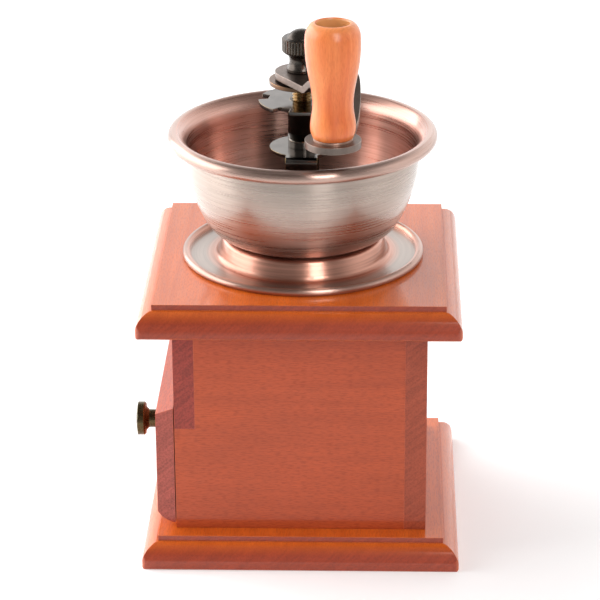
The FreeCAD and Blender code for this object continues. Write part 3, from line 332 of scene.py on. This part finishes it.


# Antiqued copper plate, waxed: pinkish where it is brushed bright, brown between the
# lines, and silvery where it is exposed. On the bowl's lower wall the silver is also
# painted reflection of the dish and cap board below.
bowl_finish = spun_copper("brushed_copper_bowl", "DEB1A2", "A87A6A", "C5B2A6",
                          rough=0.29, along=0.92, start=0.034, full=0.0455, end=0.0475)
dish_finish = spun_copper("brushed_copper_dish", "E0A48E", "9A6A57", "B8A89E",
                          rough=0.33, along=0.82, start=0.0355, full=0.039, end=0.0445)
dress(bowl_finish, "hopper_bowl")
dress(dish_finish, "dish")


# Bridge, bush and bolts: a bent steel strap over the bowl's floor holds the upper bush.
# Two bolts go down through strap, bowl, dish and cap board into the burr housing, with
# washers and nuts below.

# Blackened steel: nearly black and polished almost like a mirror, on the bolts duller,
# with a brassy colour where its edges are rubbed.
brass_edge = "C9A36A"
black_finish = worn_metal("blackened_steel", "6C6661", brass_edge, rough=0.16, wear=0.8)
bolt_finish = worn_metal("blackened_bolt", "4A4440", brass_edge, rough=0.26, wear=0.9)
dress(black_finish, "bridge", "bridge_bush")
dress(bolt_finish, "hopper_bolts")
dress(zinc_finish, "bolt_washers", "bolt_nuts")


# Burr housing and burrs: the housing is a grey iron casting, hung under the cap board.
# The outer burr is pressed into it and the inner one turns inside; both are cast, then
# ground on their cones. A spring, a washer and a nut hold the inner burr.

# Cast iron: dark grey and matt, from the sand. Ground iron: lighter, with bright edges.
iron_finish = worn_metal("grey_cast_iron", "6E6C69", "A9A7A2", rough=0.48, wear=0.7, brush_mm=0.9)
burr_finish = worn_metal("ground_burr_iron", "83817D", "C2C0BB", rough=0.34, wear=1.0, brush_mm=0.5)
dress(iron_finish, "burr_housing")
dress(burr_finish, "outer_burr", "inner_burr")
dress(zinc_finish, "burr_washer", "burr_nut", "burr_spring")


# Spindle: a turned steel rod, brassed. It has an 8 mm screw thread where the adjusting
# sleeve runs, flats at both ends for the burr and the crank, and a stud for the cap
# nut. The thread is a true right-hand helix here.

# Brassed steel: warm yellow brown, glossy, with pale crests.
brassed_finish = worn_metal("brassed_steel", "A8865A", "E2C48E", rough=0.27, wear=0.9, brush_mm=0.4)
thread_low, thread_high = 0.1674, 0.1814
pitch, crest, root = 0.00125, 0.0038, 0.00315
wound_turns, turn_steps = 14, 56          # longer than the thread, then cut to length
weld = 1e-6                               # points nearer than this become one
smooth_below = math.radians(35)


def open_mesh(piece):
    """Makes one piece the only active one and selects all of its mesh in edit mode."""
    bpy.ops.object.select_all(action="DESELECT")
    piece.select_set(True)
    bpy.context.view_layer.objects.active = piece
    bpy.ops.object.mode_set(mode="EDIT")
    bpy.ops.mesh.select_all(action="SELECT")


def cut_level(piece, height, keep_below):
    """Cuts a piece level at a height, keeps one part and closes the cut."""
    open_mesh(piece)
    bpy.ops.mesh.bisect(plane_co=(0, 0, height), plane_no=(0, 0, 1), use_fill=True,
                        clear_outer=keep_below, clear_inner=not keep_below)
    bpy.ops.object.mode_set(mode="OBJECT")


def rod_copy(name):
    """A merged copy of the CAD spindle, to work on."""
    piece = bpy.data.objects.new(name, cad["spindle"].data.copy())
    bpy.context.scene.collection.objects.link(piece)
    open_mesh(piece)
    bpy.ops.mesh.customdata_custom_splitnormals_clear()
    bpy.ops.mesh.remove_doubles(threshold=weld)
    bpy.ops.object.mode_set(mode="OBJECT")
    return piece


spindle = rod_copy("spindle_rod")
cut_level(spindle, thread_low, keep_below=True)
upper = rod_copy("spindle_upper")
cut_level(upper, thread_high, keep_below=False)

# The thread's outline over one pitch: half a crest, a flank, the root, a flank and half
# a crest, as radius and share of the pitch. Each point is extruded from the last.
tooth = [(crest, 0.0), (crest, 0.13), (root, 0.44), (root, 0.56), (crest, 0.87), (crest, 1.0)]
points = [Vector((r, 0, thread_low - pitch + share * pitch)) for r, share in tooth]
bpy.ops.object.select_all(action="DESELECT")
bpy.ops.mesh.primitive_plane_add(size=0.001, location=(0, 0, 0))
thread = bpy.context.object
thread.name = "spindle_thread"
bpy.ops.object.mode_set(mode="EDIT")
bpy.ops.mesh.merge(type="CENTER")
bpy.ops.transform.translate(value=points[0])
for here, there in zip(points, points[1:]):
    bpy.ops.mesh.extrude_vertices_move(TRANSFORM_OT_translate={"value": there - here})
bpy.ops.object.mode_set(mode="OBJECT")
wind = thread.modifiers.new("wind", "SCREW")
wind.angle = 2 * math.pi
wind.screw_offset = pitch
wind.iterations = wound_turns
wind.steps = wind.render_steps = turn_steps
wind.use_merge_vertices = True
wind.merge_threshold = weld
bpy.ops.object.modifier_apply(modifier="wind")
open_mesh(thread)
bpy.ops.mesh.remove_doubles(threshold=weld)
bpy.ops.object.mode_set(mode="OBJECT")
cut_level(thread, thread_low, keep_below=False)
cut_level(thread, thread_high, keep_below=True)
open_mesh(thread)
bpy.ops.mesh.normals_make_consistent(inside=False)
bpy.ops.object.mode_set(mode="OBJECT")

bpy.ops.object.select_all(action="DESELECT")
for piece in (thread, upper, spindle):
    piece.select_set(True)
bpy.context.view_layer.objects.active = spindle
bpy.ops.object.join()
bpy.ops.object.shade_smooth_by_angle(angle=smooth_below)
spindle.data.materials.clear()
spindle.data.materials.append(brassed_finish)
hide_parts("spindle")
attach(spindle, "crank")


# Adjusting wheel, sleeve, lock plate and spacer: the notched wheel and its sleeve are
# screwed on the spindle. The lock plate's tab stands in one notch and keeps the
# setting. All are turned or stamped from steel.

# Blackened and polished steel, deep grey with mirror gloss, on the wheel; a duller
# black on the sleeve; and bronzed steel, a glossy brown, on the lock plate.
wheel_finish = worn_metal("polished_black_steel", "6A6460", brass_edge, rough=0.11, wear=0.7)
sleeve_finish = worn_metal("blackened_sleeve", "3E3935", brass_edge, rough=0.2, wear=0.8)
lock_finish = worn_metal("bronzed_plate", "6B5140", "D0A070", rough=0.2, wear=1.0)
dress(wheel_finish, "adjusting_wheel")
dress(sleeve_finish, "adjusting_sleeve")
dress(lock_finish, "lock_plate")
dress(black_finish, "spacer_washer")


# Crank arm and cap nut: the arm is cut from steel strip and bent into a wave. The cap
# nut is turned, with a knurled head, and holds the arm on the spindle's flats.

# Bronzed steel: brownish grey with a dull gloss and light edges. The nut is blackened,
# with narrow worn lines on its knurls.
arm_finish = worn_metal("bronzed_arm", "7E6F67", "D4C0B2", rough=0.34, wear=0.9)
nut_finish = worn_metal("blackened_nut", "544D48", "B8A288", rough=0.24, wear=1.0, edge_mm=0.12)
dress(arm_finish, "crank_arm")
dress(nut_finish, "cap_nut")


# Grip, pin and washer: the grip is turned from beech with upright grain. It turns
# freely on a riveted steel pin, whose head sits in the wide bore at the top.

# Beech stained orange under a thick satin lacquer, so its grain is faint, with pale
# bare wood in the bore. The pin is bare steel, and the washer a lighter, matt bronze.
grip_bore = (0.013196, -0.058899, 0.0063, "D89A62")
grip_finish = beech("lacquered_beech_grip", grain_z, "EC8648", "D86A36", "E48A50",
                    rough=0.42, coat=0.7, streak=0.25, satin=0.25, bore=grip_bore)
pin_finish = worn_metal("steel_pin", "8E8780", "C9C3BC", rough=0.3, wear=0.8)
washer_finish = worn_metal("bronzed_washer", "C9A594", "E6D0C4", rough=0.45, wear=0.9)
dress(grip_finish, "handle_grip")
dress(pin_finish, "handle_pin")
dress(washer_finish, "handle_washer")


# Drawer: a box of plain beech with a stained front that laps over the opening. Glued
# dowels hold the front on the sides, and nails hold the back.

# Stained beech: red-brown, with end grain of a bluer red. The box is plain beech, as
# the dowels are, with its grain along each board.
front_finish = beech("stained_beech_front", grain_y, "BA4A18", red_deep, "A34A3C",
                     rough=0.40, coat=0.6)
long_finish = beech("plain_beech_long", grain_x, **plain_wood)
cross_finish = beech("plain_beech_cross", grain_y, **plain_wood)
dress(front_finish, "drawer_front")
dress(long_finish, "drawer_side_near", "drawer_side_far", "drawer_dowels", "drawer_bottom")
dress(cross_finish, "drawer_back")
dress(zinc_finish, "drawer_nails", "knob_screw")


# Drawer knob: a small knob turned from brass and held by a screw from inside. It is
# aged brass: dark olive brown, rubbed to a pale yellow on its edges.
knob_finish = worn_metal("aged_brass", "5C4E36", "C8BE96", rough=0.26, wear=1.0)
dress(knob_finish, "drawer_knob")


# Table and light: a pale seamless table top in a small light tent that is bright at
# the sides and behind and dim in front. A broad lamp and a screen stand at the left,
# and a tall narrow lamp in front gives the metal its upright gleam.

# White laminate with painted light: it glows toward the back, though it is no lamp,
# and its near part is painted cool grey as shade.
bpy.ops.object.select_all(action="DESELECT")
bpy.ops.mesh.primitive_plane_add(size=8.0, location=(0, 1.0, 0))
table = bpy.context.object
table.name = "table_top"
white, tree = finish_of("white_table")
spot = add(tree, "NewGeometry")
near = add(tree, "SeparateXYZ", {0: spot.outputs["Position"]})
back = add(tree, "MapRange", {"Value": near.outputs["Y"], "From Min": -0.42, "From Max": -0.16},
           interpolation_type="SMOOTHSTEP")
# Painted glow: emission that grows toward the back.
painted_glow = add(tree, "Math", {0: back.outputs[0], 1: 0.2}, operation="MULTIPLY")
painted_shade_tint = add(tree, "Mix", {0: back.outputs[0], 6: tone("BCC5C7"), 7: tone("EFEFEF")}, data_type="RGBA")
laminate = add(tree, "BsdfPrincipled", {"Base Color": painted_shade_tint.outputs[2], "Roughness": 0.6,
                                        "Emission Color": tone("FFFFFF"),
                                        "Emission Strength": painted_glow.outputs[0]})
add(tree, "OutputMaterial", {"Surface": laminate.outputs[0]})
table.data.materials.append(white)

tent_front = (0.40, 0.08)                 # light from low down and from above
tent_back = (1.4, 0.28)
world = bpy.data.worlds.new("tent")
bpy.context.scene.world = world
world.use_nodes = True
sky = world.node_tree
sky.nodes.clear()
aim = add(sky, "TexCoord")
split = add(sky, "SeparateXYZ", {0: aim.outputs["Generated"]})
around = add(sky, "MapRange", {"Value": split.outputs["Y"], "From Min": -0.75, "From Max": -0.05},
             interpolation_type="SMOOTHSTEP")
front_light = add(sky, "MapRange", {"Value": split.outputs["Z"], "From Min": 0.25, "From Max": 0.75,
                                    "To Min": tent_front[0], "To Max": tent_front[1]},
                  interpolation_type="SMOOTHSTEP")
back_light = add(sky, "MapRange", {"Value": split.outputs["Z"], "From Min": 0.35, "From Max": 0.85,
                                   "To Min": tent_back[0], "To Max": tent_back[1]},
                 interpolation_type="SMOOTHSTEP")
tent_light = add(sky, "Mix", {0: around.outputs[0], 2: front_light.outputs[0], 3: back_light.outputs[0]})
glow = add(sky, "Background", {"Color": tone("FFFFFF"), "Strength": tent_light.outputs[0]})
add(sky, "OutputWorld", {"Surface": glow.outputs[0]})

bowl_middle = Vector((0, 0, 0.14))


def lamp(name, place, size, power, mirrored=True):
    """A rectangular lamp aimed at the bowl. mirrored is whether it shows in gloss."""
    data = bpy.data.lights.new(name, "AREA")
    data.shape = "RECTANGLE"
    data.size, data.size_y = size
    data.energy = power
    stand = bpy.data.objects.new(name, data)
    bpy.context.scene.collection.objects.link(stand)
    stand.rotation_euler = (bowl_middle - Vector(place)).to_track_quat("-Z", "Y").to_euler()
    stand.location = place
    stand.visible_camera = False
    stand.visible_glossy = mirrored


lamp("left_lamp", (-0.983, 0.523, 0.707), (2.2, 1.3), 23.0, mirrored=False)
lamp("left_screen", (-1.04, 0.30, 0.50), (1.7, 0.9), 12.0)
lamp("front_lamp", (0.355, -0.977, 0.74), (0.38, 1.0), 7.5)


# Camera: a long lens a little above the bowl, looking down at the near side wall. Its
# place, turn and focal length come from the outlines of the two moulded boards.
eye = Vector((0.031374, -0.997672, 0.498978))
yaw, pitch_down, roll = -0.0327958, 0.3890235, -0.0066813
focal_px, picture_px, sensor_mm = 2679.108, 600, 36.0
aim_dir = Vector((math.sin(yaw) * math.cos(pitch_down), math.cos(yaw) * math.cos(pitch_down),
                  -math.sin(pitch_down)))
side_dir = Vector((math.cos(yaw), -math.sin(yaw), 0))
up_dir = side_dir.cross(aim_dir)
right = math.cos(roll) * side_dir + math.sin(roll) * up_dir
up = -math.sin(roll) * side_dir + math.cos(roll) * up_dir
lens = bpy.data.cameras.new("camera")
lens.sensor_width = sensor_mm
lens.lens = sensor_mm * focal_px / picture_px
lens.clip_start = 0.01
camera = bpy.data.objects.new("camera", lens)
bpy.context.scene.collection.objects.link(camera)
camera.matrix_world = Matrix(((right.x, up.x, -aim_dir.x, eye.x), (right.y, up.y, -aim_dir.y, eye.y),
                              (right.z, up.z, -aim_dir.z, eye.z), (0, 0, 0, 1)))
bpy.context.scene.camera = camera
bpy.context.scene.view_settings.view_transform = "Standard"
